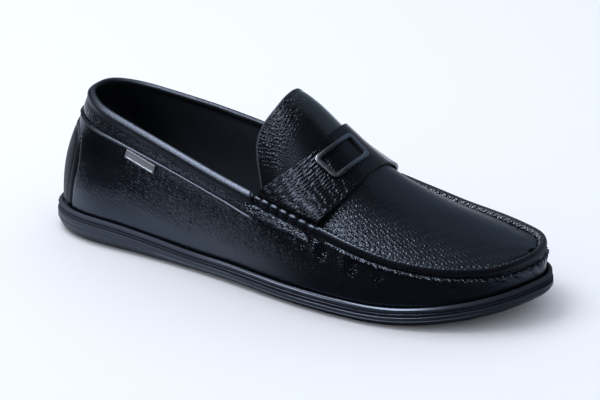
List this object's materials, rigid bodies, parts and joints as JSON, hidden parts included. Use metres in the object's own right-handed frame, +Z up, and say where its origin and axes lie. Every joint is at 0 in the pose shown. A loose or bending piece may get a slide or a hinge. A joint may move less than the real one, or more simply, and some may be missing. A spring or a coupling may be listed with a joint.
{
  "type": "moc toe loafer",
  "caption": "Low leather slip-on shoe for the right foot, with a ridged apron toe, a high tongue, a strap across the instep and a cupped rubber sole",
  "frame": {"origin": "on the floor, under the middle of the sole's bounding box", "axes": "+X towards the toe, +Y towards the inner side of the foot, +Z up"},
  "size_m": [0.3, 0.102, 0.0985],
  "materials": {
    "leather": "black tumbled grain, satin",
    "lining": "black, matte",
    "rubber": "black, fine texture",
    "gunmetal": "dark satin",
    "silver": "satin"
  },
  "bodies": {
    "root": {"outsole": "rubber", "insole": "lining", "upper": "leather", "plug_tongue": "leather", "moc_ridge": "leather", "strap": "leather", "strap_end_lateral": "leather", "strap_end_medial": "leather", "collar_binding": "leather", "heel_strip": "leather", "ornament": "gunmetal", "side_tag": "silver"}
  },
  "joints": []
}
